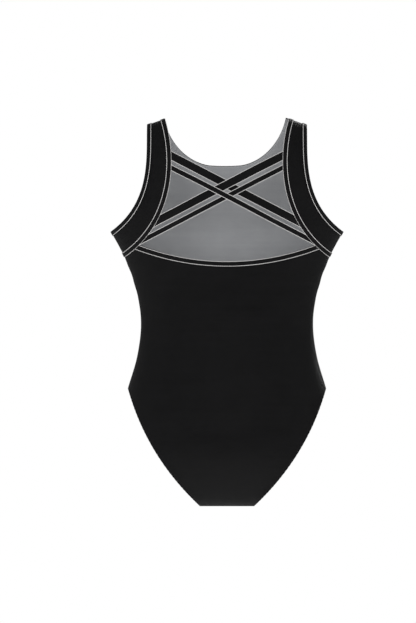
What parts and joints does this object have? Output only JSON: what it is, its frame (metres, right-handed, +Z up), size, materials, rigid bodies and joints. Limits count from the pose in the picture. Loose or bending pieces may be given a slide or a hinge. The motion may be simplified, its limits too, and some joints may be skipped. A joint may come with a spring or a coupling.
{
  "type": "gymnastics leotard",
  "caption": "Sleeveless open-back gymnastics leotard with wide back bands, crossed straps over a low scoop, a round front neckline and high-cut legs.",
  "frame": {"origin": "midway between the two high shoulder points, where the shoulder seams meet the neck edges and the garment hangs from the wearer", "axes": "+X to the wearer's right, +Y to the wearer's front (the open back faces -Y), +Z up along the body"},
  "size_m": [0.3736, 0.2163, 0.6215],
  "materials": {
    "shell_fabric": "black four-way stretch knit with a soft low sheen",
    "lining_fabric": "matt mid-grey stretch lining knit",
    "elastic": "off-white braided elastic",
    "contrast_thread": "light grey cover-stitch thread",
    "serging_thread": "dark overlock thread along the inside seams"
  },
  "bodies": {
    "root": {"front_panel": "shell_fabric", "front_lining": "lining_fabric", "back_panel": "shell_fabric", "crotch_gusset_lining": "lining_fabric", "front_neck_elastic": "elastic", "back_scoop_binding": "shell_fabric", "back_scoop_elastic": "elastic", "back_scoop_stitching": "contrast_thread", "crotch_seam": "serging_thread", "back_band_left": "shell_fabric", "armhole_binding_left": "shell_fabric", "armhole_elastic_left": "elastic", "armhole_stitching_left": "contrast_thread", "band_edge_binding_left": "shell_fabric", "band_edge_elastic_left": "elastic", "band_edge_stitching_left": "contrast_thread", "leg_facing_left": "shell_fabric", "leg_elastic_left": "elastic", "shoulder_seam_left": "serging_thread", "side_seam_left": "serging_thread", "back_band_right": "shell_fabric", "armhole_binding_right": "shell_fabric", "armhole_elastic_right": "elastic", "armhole_stitching_right": "contrast_thread", "band_edge_binding_right": "shell_fabric", "band_edge_elastic_right": "elastic", "band_edge_stitching_right": "contrast_thread", "leg_facing_right": "shell_fabric", "leg_elastic_right": "elastic", "shoulder_seam_right": "serging_thread", "side_seam_right": "serging_thread", "wide_strap_left": "shell_fabric", "wide_strap_left_elastic": "elastic", "wide_strap_right": "shell_fabric", "wide_strap_right_elastic": "elastic", "narrow_strap_right": "shell_fabric", "narrow_strap_right_elastic": "elastic", "narrow_strap_left": "shell_fabric", "narrow_strap_left_elastic": "elastic"}
  },
  "joints": []
}
